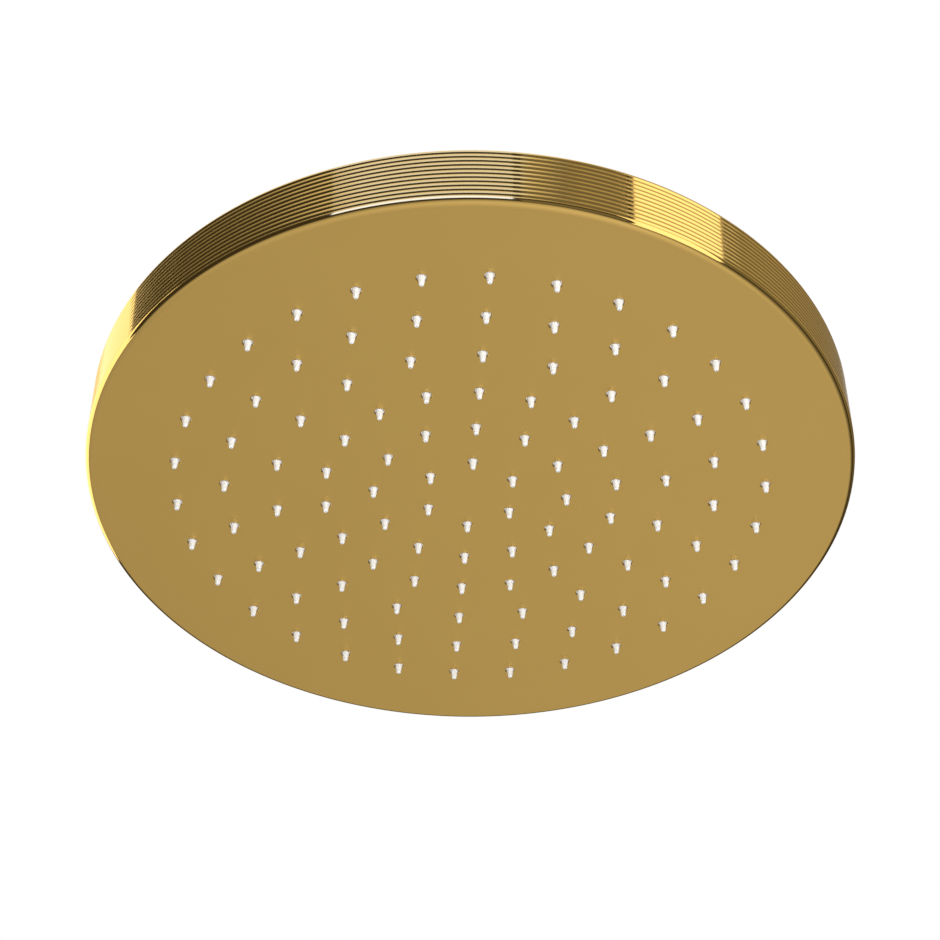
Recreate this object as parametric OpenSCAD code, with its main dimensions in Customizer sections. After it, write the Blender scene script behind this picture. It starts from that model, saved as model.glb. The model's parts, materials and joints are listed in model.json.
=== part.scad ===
// Round rain shower head: a shallow cup with a ribbed side and six rings of soft nozzles,
// a sealed water chamber inside, and a ball joint that carries the head below its threaded inlet.
// The head hangs face down. The origin is the centre of the inlet socket's mouth, at the top.
// Inside the modules, heights are counted upwards from the spray face.

/* [Head] */
// Outside diameter of the head
head_d = 250; // [200:1:300]
// Height of the head's side
head_h = 23.6; // [22.6:0.1:30]
// Thickness of the side wall
wall_t = 2.5; // [2:0.1:3.5]
// Thickness of the spray face
face_t = 1.6; // [1.2:0.1:2.4]
// Rounding between spray face and side
face_edge_r = 2.3; // [1:0.1:2.4]
// Rounding between side and back
back_edge_r = 1.7; // [0.6:0.1:2.2]

/* [Ribs] */
// Distance from one groove to the next
groove_pitch = 1.83; // [1.4:0.01:3]
// Width of a groove
groove_w = 0.9; // [0.5:0.05:1.2]
// Depth of a groove
groove_depth = 0.22; // [0.1:0.01:0.35]

/* [Nozzles] */
// Radius of the innermost ring of nozzles
first_ring_r = 15.4; // [12:0.1:20]
// Distance from the outermost ring to the edge of the nozzle mat
ring_margin = 16.3; // [14:0.1:22]
// Diameter of a nozzle's hole in the spray face
hole_d = 3.3; // [2.8:0.1:4]
// Rounding of the hole's outer edge
hole_edge_r = 0.45; // [0.2:0.05:0.6]
// How far a nozzle stands out of the face
nozzle_l = 3.3; // [2:0.1:5]
// Diameter of a nozzle where it leaves its sleeve
nozzle_root_d = 2.2; // [1.9:0.1:2.5]
// Diameter of a nozzle near its tip
nozzle_tip_d = 1.5; // [1.3:0.1:1.8]
// Diameter of a nozzle's jet
jet_d = 0.7; // [0.5:0.05:0.9]
// How far a nozzle's sleeve stays back from the face
sleeve_recess = 0.3; // [0.1:0.05:0.5]

/* [Water chamber] */
// Thickness of the nozzle mat
mat_t = 1.2; // [1:0.1:2]
// Thickness of the water plate
plate_t = 2; // [1.5:0.1:3]
// Diameter of the water plate's feed holes
feed_d = 2; // [1.2:0.1:2.6]
// Height of the water plate's rim
rim_h = 2.6; // [2.4:0.1:4]
// Width of the water plate's rim
rim_w = 5; // [4:0.1:7]
// Thickness of the chamber cover
cover_t = 2.5; // [2:0.1:3]
// Rise of the chamber cover inside its flange
dish_h = 2.2; // [1.5:0.1:2.6]
// Number of the chamber cover's ribs
cover_rib_n = 12; // [6:1:18]
// Height of the chamber cover's ribs
cover_rib_h = 3; // [1:0.1:3.6]
// Thickness of the chamber cover's ribs
cover_rib_t = 2; // [1.2:0.1:3]
// Thickness of the round seals
seal_d = 1.6; // [1.2:0.1:1.8]

/* [Screws] */
// Number of chamber screws
screw_n = 12; // [6:1:16]
// Diameter of a screw's thread
screw_d = 3; // [2.5:0.1:3.5]
// Length of a screw below its head
screw_l = 6.5; // [5:0.1:7]
// Diameter of a screw's head
screw_head_d = 5.6; // [5:0.1:6.4]
// Height of a screw's head
screw_head_h = 2.2; // [1.6:0.1:2.6]
// Diameter of the pillars that the screws go into
pillar_d = 7; // [6:0.1:8]

/* [Back] */
// Thickness of the back cover
back_t = 1.2; // [0.8:0.1:1.6]
// How far the back cover lies below the rim
back_recess = 0.4; // [0.2:0.1:0.8]
// Rise of the back cover towards its middle
back_crown = 1.5; // [0.5:0.1:3]
// Width of the ledge that carries the back cover
ledge_w = 2; // [1.5:0.1:3]
// Thickness of the gasket on the ledge
gasket_t = 0.5; // [0.3:0.1:1]
// Thickness of the washer below the back nut
washer_t = 0.8; // [0.5:0.1:1.5]
// Height of the back nut
back_nut_h = 4; // [3:0.1:6]
// Diameter of the back nut
back_nut_d = 43; // [40:0.5:50]

/* [Hub] */
// Wall of the hub's cup
hub_wall = 2.3; // [1.8:0.1:3]
// Diameter of the water way through the hub
hub_bore_d = 13; // [9:0.5:13.5]
// Diameter of the hub's flange
hub_flange_d = 46; // [42:0.5:50]
// Thickness of the hub's flange
hub_flange_t = 2.6; // [2.4:0.1:3]
// Height of the hub's nut
hub_nut_h = 4; // [3:0.1:5]
// Width of the hub's nut across its flats
hub_nut_af = 41; // [38:0.5:46]

/* [Ball joint] */
// Diameter of the ball
ball_d = 24; // [22:0.5:26]
// Diameter of the neck above the ball
neck_d = 13; // [12:0.5:14]
// Diameter of the water way through the ball
ball_bore_d = 9; // [7:0.5:9.5]
// How far the head tilts each way about each axis, in degrees
tilt_max = 12; // [8:1:14]
// Wall of the glide ring
glide_t = 1.9; // [1.5:0.1:2.5]
// Thickness of the seal below the ball seat
seat_seal_t = 2; // [1:0.1:3]
// Diameter of the swivel collar
collar_d = 37; // [36:0.5:42]
// Length of the collar's thread on the hub
collar_grip = 9.5; // [8:0.5:14]
// Number of flutes round the collar
flute_n = 30; // [12:1:36]

/* [Inlet] */
// Minor diameter of the pipe thread
thread_d = 18.6; // [16:0.1:21]
// Depth of the pipe thread
thread_l = 13; // [10:0.5:16]
// Width of the inlet across its flats
inlet_af = 27; // [26.5:0.5:32]
// Thickness of the sealing washer
inlet_washer_t = 2; // [1.5:0.1:3]
// Height of the flow regulator
regulator_h = 3.6; // [3.2:0.1:5]
// Diameter of the regulator's pocket
regulator_pocket_d = 14.4; // [13.5:0.1:15]
// Diameter of the holes in the filter
filter_hole_d = 0.9; // [0.6:0.05:1]

/* [Hidden] */
$fn = 96;

// Clearances: a sliding or threaded fit, and a loose gap between separate pieces
fit = 0.1;
loose = 0.5;
over = 1;
far = 60;

// Head
head_r = head_d / 2;
inner_r = head_r - wall_t;
straight_h = head_h - face_edge_r - back_edge_r;
groove_n = floor((straight_h - groove_w) / groove_pitch) + 1;
groove_first = face_edge_r + (straight_h - (groove_n - 1) * groove_pitch) / 2;
groove_r = (pow(groove_w / 2, 2) + pow(groove_depth, 2)) / (2 * groove_depth);
ledge_z = head_h - back_recess - back_t - gasket_t;
ledge_t = 1.2;
ledge_r = inner_r - ledge_w;

// Pillars, and what lies inside their circle
flange_r = ledge_r - loose;
pillar_circle_r = flange_r - pillar_d / 2;
mat_r = pillar_circle_r - pillar_d / 2 - loose;
first_angle = -90;
screw_angle = 180 / screw_n;

// Nozzles on each ring from the inside out, in sixes
ring_sixes = [1, 2, 3, 3, 4, 5];
last_ring_r = mat_r - ring_margin;
ring_pitch = (last_ring_r - first_ring_r) / (len(ring_sixes) - 1);
sleeve_r = hole_d / 2 - fit / 2;
tip_round = jet_d / 2;

// Heights of the chamber's layers
mat_top = face_t + mat_t;
plate_top = mat_top + plate_t;
rim_top = plate_top + rim_h;
flange_top = rim_top + cover_t;
dish_z = rim_top + dish_h;
dish_top = dish_z + cover_t;
rim_r = mat_r - rim_w;
gland_r = mat_r - rim_w / 2;
gland_w = seal_d + 0.4;
gland_depth = seal_d + fit / 2;
pillar_bore_l = screw_l - cover_t + loose;

// Ball joint, in angles from the vertical through the ball's centre
ball_r = ball_d / 2;
neck_r = neck_d / 2;
glide_in_r = ball_r + fit;
glide_out_r = glide_in_r + glide_t;
socket_r = glide_out_r + fit;
cup_r = ball_r + 0.7;
seat_r = cup_r - fit;
hub_r = cup_r + hub_wall;
neck_angle = asin(neck_r / ball_r);
swing = acos(cos(tilt_max) * cos(tilt_max));
glide_top_angle = neck_angle + tilt_max + 3;
glide_low_angle = 92 - tilt_max;
opening_angle = neck_angle + swing + 4;
seat_bore_angle = 35;
seat_top_angle = 62;
seat_bottom = ball_r + 0.4;
collar_lip = 1.7;
collar_top = socket_r * cos(opening_angle) + collar_lip;
hub_drop = 1;

// Heights up the middle
flange_z = dish_z - hub_flange_t;
back_z = ledge_z + gasket_t;
back_top = back_z + back_crown + back_t;
washer_top = back_top + washer_t;
back_nut_top = washer_top + back_nut_h;
collar_z = back_nut_top + loose;
hub_top = collar_z + collar_grip;
ball_z = hub_top + hub_drop;
shoulder_z = ball_z - seat_bottom - seat_seal_t;
hub_seal_r = (hub_r + hub_flange_d / 2) / 2;

// Inlet
inlet_corner_r = inlet_af / 2 / cos(30);
inlet_z = ball_z + (collar_top + loose + inlet_corner_r * sin(swing)) / cos(swing);
inlet_floor = 2;
pocket_z = inlet_z + inlet_floor;
filter_t = 0.6;
shoulder_gap = 0.3;
relief_z = pocket_z + regulator_h + filter_t + shoulder_gap;
relief_h = inlet_washer_t + loose;
relief_r = thread_d / 2 + 0.5;
thread_z = relief_z + relief_h;
mouth_z = thread_z + thread_l;
pocket_r = regulator_pocket_d / 2;
regulator_r = pocket_r - 0.2;
regulator_seal_d = 1.4;
regulator_seal_r = pocket_r - fit / 2 - regulator_seal_d / 2;
regulator_jet_d = 1.5;
regulator_dish_r = ball_bore_d / 2 - 0.6;
regulator_jet_r = regulator_dish_r - regulator_jet_d / 2 - 0.3;
inlet_washer_bore_r = 5.2;

// Puts a piece that is drawn above the spray face where the inlet's mouth is the origin
module from_face() {
    translate([0, 0, -mouth_z]) children();
}

// Repeats a shape at every nozzle
module at_nozzles() {
    for (ring = [0 : len(ring_sixes) - 1]) {
        count = 6 * ring_sixes[ring];
        for (k = [0 : count - 1])
            rotate(first_angle + k * 360 / count)
                translate([first_ring_r + ring * ring_pitch, 0, 0]) children();
    }
}

// Repeats a shape at every chamber screw
module at_screws() {
    for (k = [0 : screw_n - 1])
        rotate(first_angle + screw_angle + k * 360 / screw_n)
            translate([pillar_circle_r, 0, 0]) children();
}

// Flat ring with square edges
module flat_ring(outer_r, hole_r, height) {
    difference() {
        cylinder(r = outer_r, h = height);
        translate([0, 0, -over]) cylinder(r = hole_r, h = height + 2 * over);
    }
}

// Round seal of circular section
module round_seal(ring_r, section_d) {
    rotate_extrude() translate([ring_r, 0]) circle(d = section_d);
}

// Hexagon with both ends chamfered
module hexagon(across_flats, height, chamfer) {
    corner_r = across_flats / 2 / cos(30);
    intersection() {
        cylinder(r = corner_r, h = height, $fn = 6);
        rotate_extrude() polygon([[0, 0], [corner_r - chamfer, 0], [corner_r + 0.05, chamfer * 0.6],
            [corner_r + 0.05, height - chamfer * 0.6], [corner_r - chamfer, height], [0, height]]);
    }
}

// Half section of the cup before the grooves: rounded outside, with the ledge for the back inside
module cup_section() {
    difference() {
        union() {
            translate([0, face_edge_r]) square([head_r, straight_h]);
            square([head_r - face_edge_r, face_edge_r]);
            translate([head_r - face_edge_r, face_edge_r]) circle(r = face_edge_r);
            translate([0, head_h - back_edge_r]) square([head_r - back_edge_r, back_edge_r]);
            translate([head_r - back_edge_r, head_h - back_edge_r]) circle(r = back_edge_r);
        }
        polygon([[-over, face_t], [inner_r, face_t], [inner_r, ledge_z - ledge_t - ledge_w],
            [ledge_r, ledge_z - ledge_t], [ledge_r, ledge_z], [inner_r, ledge_z],
            [inner_r, head_h + over], [-over, head_h + over]]);
    }
}

// Round-bottomed grooves that leave the ribs standing
module groove_section() {
    for (k = [0 : groove_n - 1])
        translate([head_r + groove_r - groove_depth, groove_first + k * groove_pitch])
            circle(r = groove_r, $fn = 32);
}

// Hole through the face with its outer edge rounded over
module face_hole() {
    cylinder(d = hole_d, h = 2 * face_t + over);
    rotate_extrude($fn = 32) difference() {
        translate([0, -over]) square([hole_d / 2 + hole_edge_r * 0.9, over + hole_edge_r * 0.9]);
        translate([hole_d / 2 + hole_edge_r, hole_edge_r * 0.9]) circle(r = hole_edge_r, $fn = 32);
    }
}

// Ribbed cup that is the spray face and the side in one piece
module front_shell() {
    color([0.78, 0.62, 0.32]) from_face() difference() {
        union() {
            rotate_extrude() difference() {
                cup_section();
                groove_section();
            }
            at_screws() translate([0, 0, face_t / 2])
                cylinder(d = pillar_d, h = rim_top - face_t / 2);
        }
        at_nozzles() face_hole();
        at_screws() translate([0, 0, rim_top - pillar_bore_l])
            cylinder(d = screw_d + fit, h = pillar_bore_l + over);
    }
}

// Outside of one nozzle: a sleeve in the face's hole and a tapered nipple with a rounded tip
module nozzle_outside() {
    tip_r = nozzle_tip_d / 2;
    rotate_extrude($fn = 32) polygon([[0, mat_top - mat_t / 2], [sleeve_r, mat_top - mat_t / 2],
        [sleeve_r, sleeve_recess], [nozzle_root_d / 2, sleeve_recess], [tip_r, tip_round - nozzle_l],
        [tip_r - tip_round * 0.3, tip_round * 0.3 - nozzle_l], [tip_r - tip_round, -nozzle_l],
        [0, -nozzle_l]]);
}

// Water way of one nozzle, narrowing to its jet
module nozzle_bore() {
    rotate_extrude($fn = 32) polygon([[0, -nozzle_l - over], [jet_d / 2, -nozzle_l - over],
        [jet_d / 2, 0], [feed_d / 2, face_t], [feed_d / 2, mat_top + over], [0, mat_top + over]]);
}

// Soft mat that carries all the nozzles
module nozzle_mat() {
    color([0.93, 0.92, 0.89]) from_face() difference() {
        union() {
            translate([0, 0, face_t]) cylinder(r = mat_r, h = mat_t);
            at_nozzles() nozzle_outside();
        }
        at_nozzles() nozzle_bore();
    }
}

// Stiff plate that holds the mat down and feeds its nozzles
module water_plate() {
    color([0.85, 0.86, 0.87]) from_face() difference() {
        union() {
            translate([0, 0, mat_top]) cylinder(r = mat_r, h = plate_t);
            translate([0, 0, mat_top]) flat_ring(mat_r, rim_r, rim_top - mat_top);
        }
        at_nozzles() cylinder(d = feed_d, h = rim_top);
        translate([0, 0, rim_top - gland_depth])
            flat_ring(gland_r + gland_w / 2, gland_r - gland_w / 2, gland_depth + over);
    }
}

// Seal between water plate and chamber cover
module chamber_seal() {
    color([0.12, 0.12, 0.12]) from_face()
        translate([0, 0, rim_top - gland_depth / 2]) round_seal(gland_r, seal_d);
}

// Dished lid of the chamber, stiffened by ribs and screwed down by its flange
module chamber_cover() {
    rib_in_r = hub_nut_af / 2 / cos(30) + 2;
    rib_out_r = rim_r - cover_rib_h;
    color([0.25, 0.26, 0.28]) from_face() difference() {
        union() {
            rotate_extrude() polygon([[hub_r + fit, dish_z], [rim_r - dish_h, dish_z], [rim_r, rim_top],
                [flange_r, rim_top], [flange_r, flange_top], [rim_r + 1, flange_top],
                [rim_r - dish_h + 1, dish_top], [hub_r + fit, dish_top]]);
            for (k = [0 : cover_rib_n - 1])
                rotate(first_angle + k * 360 / cover_rib_n)
                    translate([0, cover_rib_t / 2, dish_top - over / 2]) rotate([90, 0, 0])
                        linear_extrude(cover_rib_t) polygon([[rib_in_r, 0],
                            [rib_in_r, cover_rib_h + over / 2], [rib_out_r * 0.7, cover_rib_h + over / 2],
                            [rib_out_r, over / 2], [rib_out_r, 0]]);
            translate([0, 0, dish_top - over / 2])
                flat_ring(rib_in_r + cover_rib_t, rib_in_r, cover_rib_h + over / 2);
        }
        at_screws() translate([0, 0, rim_top - over]) cylinder(d = screw_d + 4 * fit, h = cover_t + 2 * over);
    }
}

// Pan-head screws that clamp cover, plate and mat to the cup
module chamber_screws() {
    recess_w = 0.8;
    color([0.72, 0.73, 0.75]) from_face() at_screws() translate([0, 0, flange_top]) difference() {
        union() {
            translate([0, 0, -screw_l]) cylinder(d = screw_d, h = screw_l + 0.2);
            rotate_extrude($fn = 32) polygon([[0, 0], [screw_head_d / 2, 0],
                [screw_head_d / 2, screw_head_h * 0.5], [screw_head_d * 0.42, screw_head_h * 0.85],
                [screw_head_d * 0.28, screw_head_h], [0, screw_head_h]]);
        }
        for (turn = [0, 90])
            rotate(turn) translate([-screw_head_d * 0.27, -recess_w / 2, screw_head_h * 0.35])
                cube([screw_head_d * 0.54, recess_w, screw_head_h]);
    }
}

// Thin gasket on the cup's ledge
module cover_gasket() {
    color([0.12, 0.12, 0.12]) from_face()
        translate([0, 0, ledge_z]) flat_ring(inner_r - fit, ledge_r + fit, gasket_t);
}

// Shallow crowned lid that closes the back
module back_cover() {
    edge_r = inner_r - 2 * fit;
    flat_r = ledge_r - 1;
    land_r = back_nut_d / 2 + 1;
    color([0.78, 0.62, 0.32]) from_face() rotate_extrude() polygon([[hub_r + fit, back_z + back_crown],
        [land_r, back_z + back_crown], [flat_r, back_z], [edge_r, back_z],
        [edge_r, back_z + back_t - 0.3], [edge_r - 0.3, back_z + back_t], [flat_r, back_z + back_t],
        [land_r, back_top], [hub_r + fit, back_top]]);
}

// Threaded hub: flange in the chamber, water way, and the cup of the ball joint at its top
module inlet_hub() {
    bore_r = hub_bore_d / 2;
    edge_r = hub_flange_d / 2;
    chamfer = 0.5;
    color([0.72, 0.6, 0.35]) from_face() difference() {
        rotate_extrude() polygon([[bore_r, flange_z], [edge_r - chamfer, flange_z],
            [edge_r, flange_z + chamfer], [edge_r, dish_z], [hub_r, dish_z], [hub_r, hub_top - chamfer],
            [hub_r - chamfer, hub_top], [cup_r, hub_top], [cup_r, shoulder_z], [bore_r, shoulder_z]]);
        translate([0, 0, dish_z - gland_depth])
            flat_ring(hub_seal_r + gland_w / 2, hub_seal_r - gland_w / 2, gland_depth + over);
    }
}

// Seal between hub flange and chamber cover
module hub_seal() {
    color([0.12, 0.12, 0.12]) from_face()
        translate([0, 0, dish_z - gland_depth / 2]) round_seal(hub_seal_r, seal_d);
}

// Nut that clamps the hub to the chamber cover
module hub_nut() {
    color([0.72, 0.6, 0.35]) from_face() translate([0, 0, dish_top]) difference() {
        hexagon(hub_nut_af, hub_nut_h, 1);
        translate([0, 0, -over]) cylinder(r = hub_r + fit / 2, h = hub_nut_h + 2 * over);
    }
}

// Washer between back cover and back nut
module back_washer() {
    color([0.2, 0.2, 0.2]) from_face()
        translate([0, 0, back_top]) flat_ring(back_nut_d / 2 - 0.8, hub_r + fit, washer_t);
}

// Round nut that holds the back cover down
module back_nut() {
    nut_r = back_nut_d / 2;
    edge = 0.8;
    color([0.78, 0.62, 0.32]) from_face() rotate_extrude() polygon([[hub_r + fit / 2, washer_top],
        [nut_r, washer_top], [nut_r, back_nut_top - edge * 2], [nut_r - edge * 0.6, back_nut_top - edge * 0.6],
        [nut_r - edge * 2, back_nut_top], [hub_r + fit / 2, back_nut_top]]);
}

// Flat seal on the hub's shoulder
module seat_seal() {
    color([0.12, 0.12, 0.12]) from_face()
        translate([0, 0, shoulder_z]) flat_ring(seat_r, hub_bore_d / 2, seat_seal_t);
}

// Slick seat under the ball
module ball_seat() {
    bore_r = glide_in_r * sin(seat_bore_angle);
    top = -glide_in_r * cos(seat_top_angle);
    color([0.9, 0.9, 0.86]) from_face() translate([0, 0, ball_z]) rotate_extrude() difference() {
        translate([bore_r, -seat_bottom]) square([seat_r - bore_r, seat_bottom + top]);
        circle(r = glide_in_r);
    }
}

// Half-plane wedge between two angles from the vertical
module wedge(low_angle, high_angle) {
    polygon([[0, 0], [far * sin(low_angle), far * cos(low_angle)],
        [far * sin(high_angle), far * cos(high_angle)]]);
}

// Spherical liner over the ball, inside the collar
module glide_ring() {
    color([0.9, 0.9, 0.86]) from_face() translate([0, 0, ball_z]) rotate_extrude() intersection() {
        difference() {
            circle(r = glide_out_r);
            circle(r = glide_in_r);
        }
        wedge(glide_top_angle, glide_low_angle);
    }
}

// Fluted collar that screws onto the hub and holds the ball down in its seat
module swivel_collar() {
    collar_r = collar_d / 2;
    edge_r = 2.5;
    low = collar_z - ball_z;
    flute_r = 0.8;
    color([0.78, 0.62, 0.32]) from_face() translate([0, 0, ball_z]) difference() {
        rotate_extrude() difference() {
            union() {
                translate([0, low]) square([collar_r, collar_top - edge_r - low]);
                translate([0, low]) square([collar_r - edge_r, collar_top - low]);
                translate([collar_r - edge_r, collar_top - edge_r]) circle(r = edge_r);
            }
            circle(r = socket_r);
            wedge(0, opening_angle);
            translate([-over, low - over])
                square([hub_r + fit / 2 + over, collar_grip + over + 2 * fit]);
        }
        for (k = [0 : flute_n - 1])
            rotate(k * 360 / flute_n) translate([collar_r + flute_r * 0.4, 0, low + 1.5])
                cylinder(r = flute_r, h = collar_top - low - edge_r - 3, $fn = 24);
    }
}

// Ball, neck and threaded inlet in one piece
module ball_connector() {
    color([0.78, 0.62, 0.32]) from_face() difference() {
        union() {
            translate([0, 0, ball_z]) sphere(r = ball_r);
            translate([0, 0, ball_z]) cylinder(r = neck_r, h = inlet_z - ball_z + over);
            translate([0, 0, inlet_z]) hexagon(inlet_af, mouth_z - inlet_z, 1.2);
        }
        translate([0, 0, ball_z - ball_r - over]) cylinder(d = ball_bore_d, h = mouth_z);
        translate([0, 0, pocket_z]) cylinder(r = pocket_r, h = mouth_z);
        translate([0, 0, relief_z]) cylinder(r = relief_r, h = relief_h);
        translate([0, 0, relief_z]) cylinder(d = thread_d, h = mouth_z);
    }
}

// Insert that limits the flow, with a groove for its seal
module flow_regulator() {
    seal_groove_w = regulator_seal_d + 0.2;
    jets = 6;
    color([0.45, 0.6, 0.75]) from_face() translate([0, 0, pocket_z]) difference() {
        cylinder(r = regulator_r, h = regulator_h);
        translate([0, 0, (regulator_h - seal_groove_w) / 2])
            flat_ring(regulator_r + over, regulator_seal_r - regulator_seal_d / 2 - fit / 2, seal_groove_w);
        for (k = [0 : jets - 1])
            rotate(k * 360 / jets) translate([regulator_jet_r, 0, -over])
                cylinder(d = regulator_jet_d, h = regulator_h + 2 * over);
        translate([0, 0, regulator_h - 1]) cylinder(r = regulator_dish_r, h = 1 + over);
    }
}

// Seal round the flow regulator
module regulator_seal() {
    color([0.12, 0.12, 0.12]) from_face()
        translate([0, 0, pocket_z + regulator_h / 2]) round_seal(regulator_seal_r, regulator_seal_d);
}

// Perforated disc that keeps grit out
module filter_screen() {
    hole_step = filter_hole_d * 1.5;
    rows = floor((inlet_washer_bore_r - filter_hole_d / 2) / hole_step);
    color([0.8, 0.81, 0.82]) from_face() translate([0, 0, pocket_z + regulator_h]) difference() {
        cylinder(r = regulator_r, h = filter_t);
        for (a = [-rows : rows], b = [-rows : rows])
            if (abs(a + b) <= rows)
                translate([(a + b / 2) * hole_step, b * hole_step * sqrt(3) / 2, -over])
                    cylinder(d = filter_hole_d, h = filter_t + 2 * over, $fn = 24);
    }
}

// Rubber washer that the pipe's end presses on
module inlet_washer() {
    color([0.15, 0.15, 0.15]) from_face()
        translate([0, 0, relief_z]) flat_ring(relief_r - 2 * fit, inlet_washer_bore_r, inlet_washer_t);
}

front_shell();
nozzle_mat();
water_plate();
chamber_seal();
chamber_cover();
chamber_screws();
cover_gasket();
back_cover();
inlet_hub();
hub_seal();
hub_nut();
back_washer();
back_nut();
seat_seal();
ball_seat();
glide_ring();
swivel_collar();
ball_connector();
flow_regulator();
regulator_seal();
filter_screen();
inlet_washer();
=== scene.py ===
import json
import math

import bpy
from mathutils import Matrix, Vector


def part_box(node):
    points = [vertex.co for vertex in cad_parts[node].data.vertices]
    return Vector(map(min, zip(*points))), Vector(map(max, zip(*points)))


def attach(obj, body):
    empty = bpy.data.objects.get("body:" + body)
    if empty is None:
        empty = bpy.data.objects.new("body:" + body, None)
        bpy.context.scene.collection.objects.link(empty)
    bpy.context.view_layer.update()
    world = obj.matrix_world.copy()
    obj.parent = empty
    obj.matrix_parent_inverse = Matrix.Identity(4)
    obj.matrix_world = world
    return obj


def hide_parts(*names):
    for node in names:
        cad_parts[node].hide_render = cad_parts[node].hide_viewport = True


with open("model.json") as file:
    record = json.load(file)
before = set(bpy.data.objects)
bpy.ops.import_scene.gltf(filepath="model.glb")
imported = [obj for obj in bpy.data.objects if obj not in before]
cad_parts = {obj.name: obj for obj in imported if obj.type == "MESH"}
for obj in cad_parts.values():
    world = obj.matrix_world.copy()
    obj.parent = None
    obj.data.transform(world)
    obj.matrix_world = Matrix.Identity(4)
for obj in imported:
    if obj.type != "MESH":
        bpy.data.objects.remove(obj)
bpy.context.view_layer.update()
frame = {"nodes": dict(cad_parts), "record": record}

# Sizes of the head, in metres, in the frame's own axes
MM = 0.001
SHELL_LOW, SHELL_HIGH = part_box("front_shell")
MAT_LOW, MAT_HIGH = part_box("nozzle_mat")
FACE_Z = SHELL_LOW.z
HEAD_TOP = SHELL_HIGH.z
HEAD_R = SHELL_HIGH.x
FACE_T = 1.6 * MM
WALL_T = 2.5 * MM
FACE_EDGE_R = 2.3 * MM
BACK_EDGE_R = 1.7 * MM
GROOVE_PITCH = 1.83 * MM
GROOVE_COUNT = 11
GROOVE_DEPTH = 0.3 * MM
GROOVE_FLANK = 30
RIB_EDGE_R = 0.2 * MM
LEDGE_W = 2 * MM
LEDGE_T = 1.2 * MM
LEDGE_DROP = 2.1 * MM
PLATE_R = 112 * MM

# Nozzles
FIRST_RING_R = 15.4 * MM
RING_PITCH = 16.16 * MM
RING_SIXES = (1, 2, 3, 3, 4, 5)
FIRST_ANGLE = -90
HOLE_R = 1.65 * MM
HOLE_EDGE_R = 0.3 * MM
HOLE_EDGE_SINK = 0.9
NOZZLE_L = 3.1 * MM
NOZZLE_ROOT_R = 1.25 * MM
NOZZLE_TIP_R = 0.8 * MM
SLEEVE_R = 1.6 * MM
SLEEVE_RECESS = 0.6 * MM
JET_R = 0.25 * MM
FEED_R = 1 * MM

# Screw pillars inside the shell
PILLAR_N = 12
PILLAR_R = 3.5 * MM
PILLAR_BORE_R = 1.55 * MM
PILLAR_CIRCLE_R = 116.5 * MM
PILLAR_TOP = 7.4 * MM
PILLAR_BORE_L = 4.5 * MM

# How finely round things are turned
RIM_STEPS = 256
RIB_EDGE_STEPS = 3
HOLE_STEPS = 24
SMOOTH_ANGLE = math.radians(20)
TINY = 0.05 * MM
WELD = 0.002 * MM


# Making pieces

def deselect():
    """Leaves nothing selected and no mesh in edit mode."""
    if bpy.context.object and bpy.context.object.mode != "OBJECT":
        bpy.ops.object.mode_set(mode="OBJECT")
    bpy.ops.object.select_all(action="DESELECT")


def only(piece):
    """Selects one piece alone and makes it the active one."""
    deselect()
    piece.select_set(True)
    bpy.context.view_layer.objects.active = piece


def arc(centre_r, centre_z, radius, start, end, steps):
    """Points of an arc in an outline, between two angles in degrees."""
    points = []
    for k in range(steps + 1):
        a = math.radians(start + (end - start) * k / steps)
        points.append((centre_r + radius * math.cos(a), centre_z + radius * math.sin(a)))
    return points


def turned(name, outline, steps, closed=True):
    """Turns an outline of (radius, height) points once round the Z axis."""
    deselect()
    bpy.ops.mesh.primitive_plane_add(size=MM, location=(0, 0, 0))
    piece = bpy.context.active_object
    piece.name = name
    bpy.ops.object.mode_set(mode="EDIT")
    bpy.ops.mesh.select_mode(type="VERT")
    bpy.ops.mesh.select_all(action="SELECT")
    bpy.ops.mesh.merge(type="CENTER")
    bpy.ops.transform.translate(value=(outline[0][0], 0, outline[0][1]))
    for here, there in zip(outline, outline[1:]):
        step = (there[0] - here[0], 0, there[1] - here[1])
        bpy.ops.mesh.extrude_vertices_move(TRANSFORM_OT_translate={"value": step})
    bpy.ops.mesh.select_all(action="SELECT")
    if closed:
        bpy.ops.object.mode_set(mode="OBJECT")
        for v in piece.data.vertices:
            v.select = v.index in (0, len(outline) - 1)
        bpy.ops.object.mode_set(mode="EDIT")
        bpy.ops.mesh.edge_face_add()
        bpy.ops.mesh.select_all(action="SELECT")
    bpy.ops.mesh.spin(steps=steps, angle=2 * math.pi, center=(0, 0, 0), axis=(0, 0, 1))
    bpy.ops.mesh.select_all(action="SELECT")
    bpy.ops.mesh.remove_doubles(threshold=WELD)
    bpy.ops.mesh.normals_make_consistent(inside=False)
    bpy.ops.object.mode_set(mode="OBJECT")
    return piece


def copy_at(piece, place, turn=0.0):
    """A copy of a piece with a mesh of its own, set down at a place."""
    copy = piece.copy()
    copy.data = piece.data.copy()
    copy.location = place
    copy.rotation_euler = (0, 0, turn)
    bpy.context.scene.collection.objects.link(copy)
    return copy


def joined(name, first, others):
    """One piece from several, with its place in its mesh."""
    deselect()
    for piece in [first, *others]:
        piece.select_set(True)
    bpy.context.view_layer.objects.active = first
    bpy.ops.object.join()
    bpy.ops.object.transform_apply(location=True, rotation=True, scale=True)
    first.name = name
    return first


def nozzle_places(height):
    """Where the nozzles stand: six rings, with one spoke towards the front."""
    places = []
    for ring, sixes in enumerate(RING_SIXES):
        count = 6 * sixes
        radius = FIRST_RING_R + ring * RING_PITCH
        for k in range(count):
            a = math.radians(FIRST_ANGLE + 360 * k / count)
            places.append((radius * math.cos(a), radius * math.sin(a), height))
    return places


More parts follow.
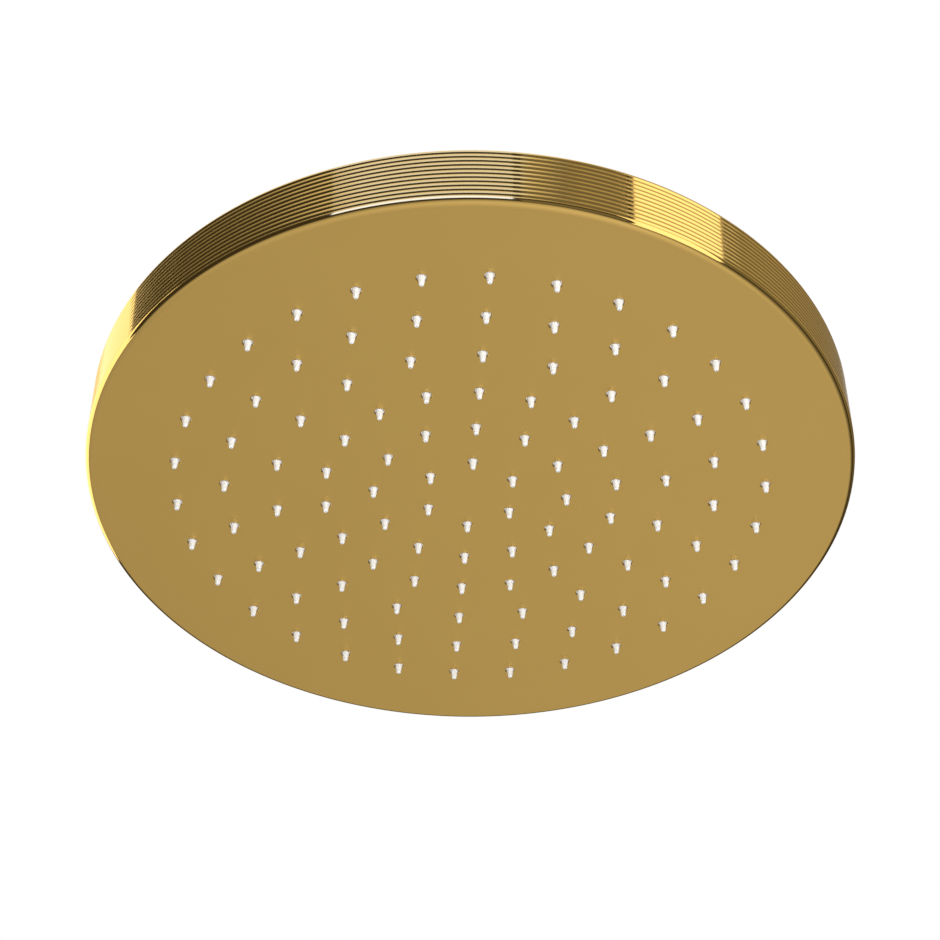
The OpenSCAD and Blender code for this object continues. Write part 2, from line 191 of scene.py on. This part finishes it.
def fill_flat(piece, height):
    """Closes the flat between all open edges that lie at one height."""
    only(piece)
    bpy.ops.object.mode_set(mode="EDIT")
    bpy.ops.mesh.select_mode(type="EDGE")
    bpy.ops.mesh.select_non_manifold(
        extend=False, use_wire=False, use_boundary=True, use_multi_face=False,
        use_non_contiguous=False, use_verts=False)
    bpy.ops.object.mode_set(mode="OBJECT")
    points = piece.data.vertices
    for edge in piece.data.edges:
        on_height = all(abs(points[i].co.z - height) < TINY / 2 for i in edge.vertices)
        edge.select = edge.select and on_height
    bpy.ops.object.mode_set(mode="EDIT")
    bpy.ops.mesh.fill(use_beauty=True)
    bpy.ops.object.mode_set(mode="OBJECT")


def finish_surface(piece, angle=SMOOTH_ANGLE):
    """Points all faces outwards and smooths all but the sharp edges."""
    only(piece)
    bpy.ops.object.mode_set(mode="EDIT")
    bpy.ops.mesh.select_all(action="SELECT")
    bpy.ops.mesh.remove_doubles(threshold=WELD)
    bpy.ops.mesh.normals_make_consistent(inside=False)
    bpy.ops.object.mode_set(mode="OBJECT")
    bpy.ops.object.shade_smooth_by_angle(angle=angle)


# Materials

def new_material(name):
    """An empty node material with its output and a principled shader."""
    material = bpy.data.materials.new(name)
    material.use_nodes = True
    nodes = material.node_tree.nodes
    nodes.clear()
    output = nodes.new("ShaderNodeOutputMaterial")
    shader = nodes.new("ShaderNodeBsdfPrincipled")
    material.node_tree.links.new(shader.outputs["BSDF"], output.inputs["Surface"])
    return material, nodes, material.node_tree.links, shader


def object_noise(nodes, links, scale, detail=4.0):
    """Noise that is fixed to the piece, by its own coordinates."""
    place = nodes.new("ShaderNodeTexCoord")
    noise = nodes.new("ShaderNodeTexNoise")
    noise.inputs["Scale"].default_value = scale
    noise.inputs["Detail"].default_value = detail
    links.new(place.outputs["Object"], noise.inputs["Vector"])
    return noise.outputs["Fac"]


def ranged(nodes, links, value, low, high, out_low, out_high):
    """A value carried from one range to another, without going past its ends."""
    node = nodes.new("ShaderNodeMapRange")
    node.inputs["From Min"].default_value = low
    node.inputs["From Max"].default_value = high
    node.inputs["To Min"].default_value = out_low
    node.inputs["To Max"].default_value = out_high
    links.new(value, node.inputs["Value"])
    return node.outputs["Result"]


def between(nodes, links, factor, first, second):
    """A colour between two colours."""
    mix = nodes.new("ShaderNodeMix")
    mix.data_type = "RGBA"
    mix.inputs["A"].default_value = (*first, 1)
    mix.inputs["B"].default_value = (*second, 1)
    links.new(factor, mix.inputs["Factor"])
    return mix.outputs["Result"]


def bumped(nodes, links, shader, height, distance, strength=0.2):
    """Fine relief on a shader."""
    bump = nodes.new("ShaderNodeBump")
    bump.inputs["Strength"].default_value = strength
    bump.inputs["Distance"].default_value = distance
    links.new(height, bump.inputs["Height"])
    links.new(bump.outputs["Normal"], shader.inputs["Normal"])


GOLD = (0.55, 0.36, 0.103)
GOLD_DEEP = (0.535, 0.346, 0.097)
GOLD_EDGE = (1.0, 0.88, 0.66)


def polished_gold(name, satin_below=None):
    """Polished gold plate, with a satin spray face below a given height."""
    material, nodes, links, shader = new_material(name)
    shader.inputs["Metallic"].default_value = 1.0
    shader.inputs["Specular Tint"].default_value = (*GOLD_EDGE, 1)
    cloud = object_noise(nodes, links, 35.0)
    links.new(between(nodes, links, cloud, GOLD, GOLD_DEEP), shader.inputs["Base Color"])
    haze = ranged(nodes, links, object_noise(nodes, links, 220.0), 0.35, 0.65, 0.05, 0.075)
    if satin_below is None:
        links.new(haze, shader.inputs["Roughness"])
        return material
    place = nodes.new("ShaderNodeTexCoord")
    split = nodes.new("ShaderNodeSeparateXYZ")
    links.new(place.outputs["Object"], split.inputs["Vector"])
    satin = ranged(nodes, links, split.outputs["Z"], satin_below, satin_below + TINY, 1.0, 0.0)
    mix = nodes.new("ShaderNodeMix")
    mix.inputs["B"].default_value = 0.32
    links.new(haze, mix.inputs["A"])
    links.new(satin, mix.inputs["Factor"])
    links.new(mix.outputs["Result"], shader.inputs["Roughness"])
    return material


def soft_silicone():
    """White silicone that lets a little light in."""
    material, nodes, links, shader = new_material("soft_white_silicone")
    cloud = object_noise(nodes, links, 180.0)
    tint = between(nodes, links, cloud, (0.9, 0.89, 0.87), (0.87, 0.86, 0.83))
    links.new(tint, shader.inputs["Base Color"])
    shader.inputs["Roughness"].default_value = 0.38
    shader.inputs["Subsurface Weight"].default_value = 0.25
    shader.inputs["Subsurface Radius"].default_value = (1.0, 0.9, 0.8)
    shader.inputs["Subsurface Scale"].default_value = 0.5 * MM
    bumped(nodes, links, shader, object_noise(nodes, links, 2500.0), 0.02 * MM)
    return material


def plain_finish(name, light, dark, roughness, grain, metallic=0.0, relief=0.02 * MM):
    """A finish with slight clouding, uneven gloss and a fine grain."""
    material, nodes, links, shader = new_material(name)
    shader.inputs["Metallic"].default_value = metallic
    cloud = object_noise(nodes, links, grain / 10)
    links.new(between(nodes, links, cloud, light, dark), shader.inputs["Base Color"])
    gloss = ranged(nodes, links, object_noise(nodes, links, grain / 3), 0.3, 0.7, roughness * 0.85, roughness * 1.15)
    links.new(gloss, shader.inputs["Roughness"])
    bumped(nodes, links, shader, object_noise(nodes, links, grain), relief)
    return material


# The ribbed gold shell

def shell_outline():
    """Half section of the cup from the spray face round the side to the inside."""
    straight_low = FACE_Z + FACE_EDGE_R
    straight_high = HEAD_TOP - BACK_EDGE_R
    first = (straight_low + straight_high - (GROOVE_COUNT - 1) * GROOVE_PITCH) / 2
    turn = math.radians(GROOVE_FLANK)
    flank_l = (GROOVE_DEPTH - RIB_EDGE_R * (1 - math.cos(turn))) / math.sin(turn)
    half_w = RIB_EDGE_R * math.sin(turn) + flank_l * math.cos(turn)
    points = [(PLATE_R, FACE_Z), (HEAD_R - FACE_EDGE_R - TINY, FACE_Z)]
    points += arc(HEAD_R - FACE_EDGE_R, straight_low, FACE_EDGE_R, -90, 0, 20)
    for k in range(GROOVE_COUNT):
        middle = first + k * GROOVE_PITCH
        points += arc(HEAD_R - RIB_EDGE_R, middle - half_w, RIB_EDGE_R, 0, GROOVE_FLANK, RIB_EDGE_STEPS)
        points.append((HEAD_R - GROOVE_DEPTH, middle))
        points += arc(HEAD_R - RIB_EDGE_R, middle + half_w, RIB_EDGE_R, -GROOVE_FLANK, 0, RIB_EDGE_STEPS)
    points += arc(HEAD_R - BACK_EDGE_R, straight_high, BACK_EDGE_R, 0, 90, 14)
    inner_r = HEAD_R - WALL_T
    ledge_r = inner_r - LEDGE_W
    ledge_z = HEAD_TOP - LEDGE_DROP
    points += [(inner_r, HEAD_TOP), (inner_r, ledge_z), (ledge_r, ledge_z), (ledge_r, ledge_z - LEDGE_T)]
    points += [(inner_r, ledge_z - LEDGE_T - LEDGE_W), (inner_r, FACE_Z + FACE_T), (PLATE_R, FACE_Z + FACE_T)]
    return points


def hole_lip():
    """Wall of one nozzle hole, with its outer edge rounded over."""
    centre_r = HOLE_R + HOLE_EDGE_R
    centre_z = FACE_Z + HOLE_EDGE_R * HOLE_EDGE_SINK
    start = 180 + math.degrees(math.asin(HOLE_EDGE_SINK))
    rounding = arc(centre_r, centre_z, HOLE_EDGE_R, start, 180, 5)
    outline = [(rounding[0][0] + TINY, FACE_Z)] + rounding + [(HOLE_R, FACE_Z + FACE_T)]
    return turned("hole_lip", outline, HOLE_STEPS, closed=False)


def screw_pillar():
    """One pillar that a chamber screw goes into."""
    low = FACE_Z + FACE_T / 2
    high = FACE_Z + PILLAR_TOP
    outline = [(0, low), (PILLAR_R, low), (PILLAR_R, high), (PILLAR_BORE_R, high)]
    outline += [(PILLAR_BORE_R, high - PILLAR_BORE_L), (0, high - PILLAR_BORE_L)]
    return turned("screw_pillar", outline, HOLE_STEPS, closed=False)


def ribbed_shell():
    """The cup in one piece: face with its holes, rounded edge and ribbed side."""
    cup = turned("ribbed_gold_shell", shell_outline(), RIM_STEPS, closed=False)
    lip = hole_lip()
    lips = [copy_at(lip, place) for place in nozzle_places(0)]
    bpy.data.objects.remove(lip)
    shell = joined("ribbed_gold_shell", cup, lips)
    fill_flat(shell, FACE_Z)
    fill_flat(shell, FACE_Z + FACE_T)
    finish_surface(shell)
    pillar = screw_pillar()
    pillars = []
    for k in range(PILLAR_N):
        a = math.radians(FIRST_ANGLE + (k + 0.5) * 360 / PILLAR_N)
        pillars.append(copy_at(pillar, (PILLAR_CIRCLE_R * math.cos(a), PILLAR_CIRCLE_R * math.sin(a), 0)))
    bpy.data.objects.remove(pillar)
    return joined("ribbed_gold_shell", shell, pillars)


# The silicone mat with its nozzles

def one_nozzle():
    """Sleeve, tapered nipple with a rounded tip, and the water way through them."""
    root_z = FACE_Z + SLEEVE_RECESS
    tip_z = FACE_Z - NOZZLE_L
    top_z = MAT_HIGH.z
    tip_round = NOZZLE_TIP_R - JET_R
    outline = [(SLEEVE_R, top_z), (SLEEVE_R, root_z + TINY), (SLEEVE_R - TINY, root_z), (NOZZLE_ROOT_R, root_z)]
    outline += arc(NOZZLE_TIP_R - tip_round, tip_z + tip_round, tip_round, 0, -90, 4)
    outline += [(JET_R, FACE_Z), (FEED_R, FACE_Z + FACE_T), (FEED_R, top_z)]
    return turned("one_nozzle", outline, HOLE_STEPS)


def nozzle_mat():
    """All the nozzles on their mat."""
    low = FACE_Z + FACE_T
    high = MAT_HIGH.z
    disc = turned("silicone_nozzle_mat", [(0, low), (MAT_HIGH.x, low), (MAT_HIGH.x, high), (0, high)],
                  RIM_STEPS // 2, closed=False)
    nozzle = one_nozzle()
    only(nozzle)
    bpy.ops.object.shade_smooth_by_angle(angle=math.radians(35))
    nozzles = [copy_at(nozzle, place) for place in nozzle_places(0)]
    bpy.data.objects.remove(nozzle)
    return joined("silicone_nozzle_mat", disc, nozzles)


gold_shell = polished_gold("polished_gold_shell", satin_below=FACE_Z)
gold_back = polished_gold("polished_gold_back")
silicone = soft_silicone()
rubber = plain_finish("black_rubber", (0.03, 0.03, 0.03), (0.018, 0.018, 0.018), 0.6, 3000)
grey_plastic = plain_finish("grey_moulded_plastic", (0.5, 0.51, 0.53), (0.46, 0.47, 0.49), 0.4, 2000)
slick_plastic = plain_finish("slick_natural_plastic", (0.85, 0.85, 0.82), (0.8, 0.8, 0.77), 0.25, 2500)
blue_plastic = plain_finish("blue_moulded_plastic", (0.35, 0.5, 0.66), (0.31, 0.46, 0.62), 0.3, 2500)
stainless = plain_finish("plain_stainless", (0.62, 0.63, 0.65), (0.56, 0.57, 0.59), 0.28, 1500, 1.0)
raw_brass = plain_finish("turned_raw_brass", (0.6, 0.48, 0.25), (0.55, 0.43, 0.22), 0.3, 1200, 1.0)

FINISHES = {
    "gold_shell": gold_shell, "gold_back": gold_back, "raw_brass": raw_brass,
    "nozzle_silicone": silicone, "black_rubber": rubber, "chamber_plastic": grey_plastic,
    "slick_plastic": slick_plastic, "regulator_plastic": blue_plastic, "stainless": stainless,
}
for subpart in frame["record"]["subparts"]:
    node = frame["nodes"][subpart["node"]]
    node.data.materials.clear()
    node.data.materials.append(FINISHES[subpart["material_slot"]])

shell = ribbed_shell()
shell.data.materials.append(gold_shell)
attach(shell, "head")
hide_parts("front_shell")

mat = nozzle_mat()
mat.data.materials.append(silicone)
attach(mat, "head")
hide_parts("nozzle_mat")


# Studio

CAMERA_AT = Vector((-31.64, -525.87, -549.65)) * MM
CAMERA_TOWARDS = Vector((0.0442, 0.7366, 0.6750))
CAMERA_TURN = -3.43
FLOOR_Z = -0.62
WALLS_R = 6.0
PANELS_R = 1.8
OVERHEAD_BOX = (-1.45, 0.68, -2.3, 1.1)
OVERHEAD_Z = 1.6
OVERHEAD_COOL = (1.4, 1.66, 2.75)
OVERHEAD_PLAIN = (1.5, 1.5, 1.5)
OVERHEAD_EDGE = (0.4, 0.4, 0.4)
# Centre of the painted pool of light in the floor's glow
POOL_AT = (0.05, 0.3, 0)
CENTRE = Vector((0, 0, FACE_Z))


def seen_at(side, height, distance):
    """A place by its angle to the right of the camera and its angle above level."""
    a = math.radians(side + CAMERA_TURN)
    e = math.radians(height)
    return CENTRE + distance * Vector((math.cos(e) * math.sin(a), -math.cos(e) * math.cos(a), math.sin(e)))


def glow(name, colour, strength):
    """A plain glowing surface."""
    material = bpy.data.materials.new(name)
    material.use_nodes = True
    nodes = material.node_tree.nodes
    nodes.clear()
    output = nodes.new("ShaderNodeOutputMaterial")
    light = nodes.new("ShaderNodeEmission")
    light.inputs["Color"].default_value = (*colour, 1)
    light.inputs["Strength"].default_value = strength
    material.node_tree.links.new(light.outputs["Emission"], output.inputs["Surface"])
    return material, nodes, material.node_tree.links, light


def light_panel(name, points, faces, strength, colour=(1, 1, 1)):
    """A glowing panel that the camera doesn't see, with its place in its mesh."""
    mesh = bpy.data.meshes.new(name)
    mesh.from_pydata(points, [], faces)
    panel = bpy.data.objects.new(name, mesh)
    bpy.context.scene.collection.objects.link(panel)
    material, nodes, links, light = glow(name, colour, strength)
    panel.data.materials.append(material)
    panel.visible_camera = False
    return panel, nodes, links, light


def side_panel(name, low_edge, high_edge, strength, colour=(1, 1, 1)):
    """A glowing strip between two edges, each a list of side and height angles."""
    points = [seen_at(side, height, PANELS_R) for edge in (low_edge, high_edge) for side, height in edge]
    count = len(low_edge)
    faces = [(k, k + 1, count + k + 1, count + k) for k in range(count - 1)]
    return light_panel(name, points, faces, strength, colour)[0]


def product(nodes, links, first, *others):
    """The product of several values."""
    for value in others:
        node = nodes.new("ShaderNodeMath")
        node.operation = "MULTIPLY"
        links.new(first, node.inputs[0])
        links.new(value, node.inputs[1])
        first = node.outputs["Value"]
    return first


def own_axes(nodes, links):
    """The piece's own coordinates, one by one."""
    place = nodes.new("ShaderNodeTexCoord")
    split = nodes.new("ShaderNodeSeparateXYZ")
    links.new(place.outputs["Object"], split.inputs["Vector"])
    return split.outputs["X"], split.outputs["Y"], split.outputs["Z"]


def overhead_panel():
    """A broad cool panel high above the head, fading at its edges."""
    left, right, front, back = OVERHEAD_BOX
    corners = [(left, front, OVERHEAD_Z), (right, front, OVERHEAD_Z), (right, back, OVERHEAD_Z), (left, back, OVERHEAD_Z)]
    panel, nodes, links, light = light_panel("overhead_panel", corners, [(0, 1, 2, 3)], 1.0)
    x, y, _ = own_axes(nodes, links)
    fade = product(
        nodes, links,
        ranged(nodes, links, x, left, left + 0.55, 0, 1),
        ranged(nodes, links, x, right - 0.4, right, 1, 0),
        ranged(nodes, links, y, front, front + 0.3, 0, 1),
        ranged(nodes, links, y, back - 0.3, back, 1, 0))
    plain = between(nodes, links, fade, OVERHEAD_EDGE, OVERHEAD_PLAIN)
    tint = nodes.new("ShaderNodeMix")
    tint.data_type = "RGBA"
    tint.inputs["B"].default_value = (*OVERHEAD_COOL, 1)
    links.new(ranged(nodes, links, fade, 0.75, 1, 0, 1), tint.inputs["Factor"])
    links.new(plain, tint.inputs["A"])
    links.new(tint.outputs["Result"], light.inputs["Color"])
    panel.visible_diffuse = False


def studio_walls():
    """Dim walls all round, lighter above and on the right, which the camera doesn't show."""
    deselect()
    bpy.ops.mesh.primitive_uv_sphere_add(segments=64, ring_count=32, radius=1, location=CENTRE)
    walls = bpy.context.active_object
    walls.name = "studio_walls"
    walls.scale = (WALLS_R, WALLS_R, WALLS_R)
    material, nodes, links, light = glow("dim_walls", (1, 0.94, 0.82), 1.0)
    x, y, z = own_axes(nodes, links)
    low = ranged(nodes, links, x, 0.6, 0.95, 0.07, 0.34)
    high = product(nodes, links, ranged(nodes, links, x, -0.3, 0.3, 0.33, 0.72), ranged(nodes, links, y, 0, 0.45, 1, 0.62))
    mix = nodes.new("ShaderNodeMix")
    links.new(ranged(nodes, links, z, 0.45, 0.72, 0.0, 1.0), mix.inputs["Factor"])
    links.new(low, mix.inputs["A"])
    links.new(high, mix.inputs["B"])
    links.new(mix.outputs["Result"], light.inputs["Strength"])
    walls.data.materials.append(material)
    walls.visible_camera = False


def pale_floor():
    """A pale floor: the camera sees it glowing evenly pale with its real shading added, while the gold's reflections
    and the light it gets from below come from a painted glow, a pool of light brightest below the head and towards
    the camera.
    """
    deselect()
    bpy.ops.mesh.primitive_circle_add(vertices=64, radius=14, fill_type="NGON", location=(0, 0, FLOOR_Z))
    floor = bpy.context.active_object
    floor.name = "floor"
    material, nodes, links, light = glow("pale_floor", (1, 1, 1), 1.0)
    place = nodes.new("ShaderNodeTexCoord")
    shift = nodes.new("ShaderNodeVectorMath")
    shift.operation = "SUBTRACT"
    shift.inputs[1].default_value = POOL_AT
    links.new(place.outputs["Object"], shift.inputs[0])
    flat = nodes.new("ShaderNodeVectorMath")
    flat.operation = "LENGTH"
    links.new(shift.outputs["Vector"], flat.inputs[0])
    x, y, _ = own_axes(nodes, links)
    # Painted pool of light: the floor's glow, which the gold mirrors and which lights the head from below, is
    # brightest round POOL_AT and towards the camera, and dimmer far to the right and far out
    level = product(
        nodes, links,
        ranged(nodes, links, flat.outputs["Value"], 0.75, 2.31, 0.95, 0.1),
        ranged(nodes, links, y, -0.35, 0.2, 1.16, 0.84),
        ranged(nodes, links, x, -0.4, 0.35, 0.86, 1.1),
        ranged(nodes, links, x, 0.42, 0.95, 1.0, 0.36))
    links.new(level, light.inputs["Strength"])
    white = nodes.new("ShaderNodeEmission")
    white.inputs["Strength"].default_value = 0.72
    matt = nodes.new("ShaderNodeBsdfDiffuse")
    matt.inputs["Color"].default_value = (0.4, 0.4, 0.4, 1)
    seen = nodes.new("ShaderNodeAddShader")
    links.new(white.outputs["Emission"], seen.inputs[0])
    links.new(matt.outputs["BSDF"], seen.inputs[1])
    ray = nodes.new("ShaderNodeLightPath")
    mix = nodes.new("ShaderNodeMixShader")
    links.new(ray.outputs["Is Camera Ray"], mix.inputs["Fac"])
    links.new(light.outputs["Emission"], mix.inputs[1])
    links.new(seen.outputs["Shader"], mix.inputs[2])
    output = next(n for n in nodes if n.type == "OUTPUT_MATERIAL")
    links.new(mix.outputs["Shader"], output.inputs["Surface"])
    floor.data.materials.append(material)


def fill_lamp(name, place, size, power):
    """A soft lamp for what isn't metal, which the gold doesn't mirror."""
    data = bpy.data.lights.new(name, "AREA")
    data.shape = "SQUARE"
    data.size = size
    data.energy = power
    lamp = bpy.data.objects.new(name, data)
    bpy.context.scene.collection.objects.link(lamp)
    lamp.location = place
    lamp.rotation_mode = "QUATERNION"
    lamp.rotation_quaternion = (CENTRE - place).to_track_quat("-Z", "Y")
    lamp.visible_glossy = False
    lamp.visible_camera = False


def studio_camera():
    """The camera below the head, looking up at the spray face."""
    data = bpy.data.cameras.new("camera")
    data.lens = 82.804
    data.sensor_width = 36
    data.clip_start = 0.01
    data.clip_end = 50
    camera = bpy.data.objects.new("camera", data)
    bpy.context.scene.collection.objects.link(camera)
    camera.location = CAMERA_AT
    camera.rotation_mode = "QUATERNION"
    camera.rotation_quaternion = CAMERA_TOWARDS.to_track_quat("-Z", "Y")
    bpy.context.scene.camera = camera


# Edges of the panels, low and high, by angles to the right of the camera and above level
KEY_LOW = [(-33, 7), (10, 7)]
KEY_HIGH = [(-36, 37), (11, 37)]
DIM_LOW = [(12, -12), (38, -12)]
DIM_HIGH = [(12, 15), (38, 15)]
RIGHT_LOW = [(39.5, -28), (63.5, -28)]
RIGHT_HIGH = [(39.5, 40), (63, 40)]
RIGHT_TOP_LOW = [(43, 40), (66, 40), (82, 40)]
RIGHT_TOP_HIGH = [(56, 60), (78, 60), (96, 60)]
LEFT_LOW = [(-95, -28), (-108, -29), (-124, -30), (-140, -30), (-146, -30)]
LEFT_MIDDLE = [(-93, 33), (-110, 33), (-123, 33), (-140, 33), (-146, 33)]
LEFT_HIGH = [(-93, 33.5), (-110, 38), (-123, 46), (-140, 55), (-146, 55)]
LEFT_RAIL = [(-86, 34), (-112, 34)], [(-86, 38), (-112, 38)]
RIGHT_RAIL = [(88, 34), (118, 34), (150, 34)], [(88, 38), (118, 38), (150, 38)]
BACK_LOW = [(-155, 15), (180, 15), (150, 15)]
BACK_HIGH = [(-155, 62), (180, 62), (150, 62)]

studio_walls()
pale_floor()
overhead_panel()
side_panel("key_panel", KEY_LOW, KEY_HIGH, 1.0, (1.85, 2.6, 7.4)).visible_diffuse = False
side_panel("right_panel", RIGHT_LOW, RIGHT_HIGH, 2.65)
side_panel("right_top_panel", RIGHT_TOP_LOW, RIGHT_TOP_HIGH, 1.0)
side_panel("left_panel", LEFT_LOW, LEFT_MIDDLE, 2.6)
side_panel("left_top_panel", LEFT_MIDDLE, LEFT_HIGH, 1.7)
side_panel("dim_panel", DIM_LOW, DIM_HIGH, 0.3)
side_panel("left_rail", *LEFT_RAIL, 3.0)
side_panel("right_rail", *RIGHT_RAIL, 1.1)
side_panel("back_panel", BACK_LOW, BACK_HIGH, 0.7)
fill_lamp("soft_fill", seen_at(16, -28, 1.0), 0.4, 10.5)
fill_lamp("top_fill", seen_at(-20, 55, 1.5), 0.8, 15)
studio_camera()

world = bpy.data.worlds.new("white_world")
world.use_nodes = True
world.node_tree.nodes["Background"].inputs["Color"].default_value = (1, 1, 1, 1)
bpy.context.scene.world = world
bpy.context.scene.view_settings.view_transform = "Standard"
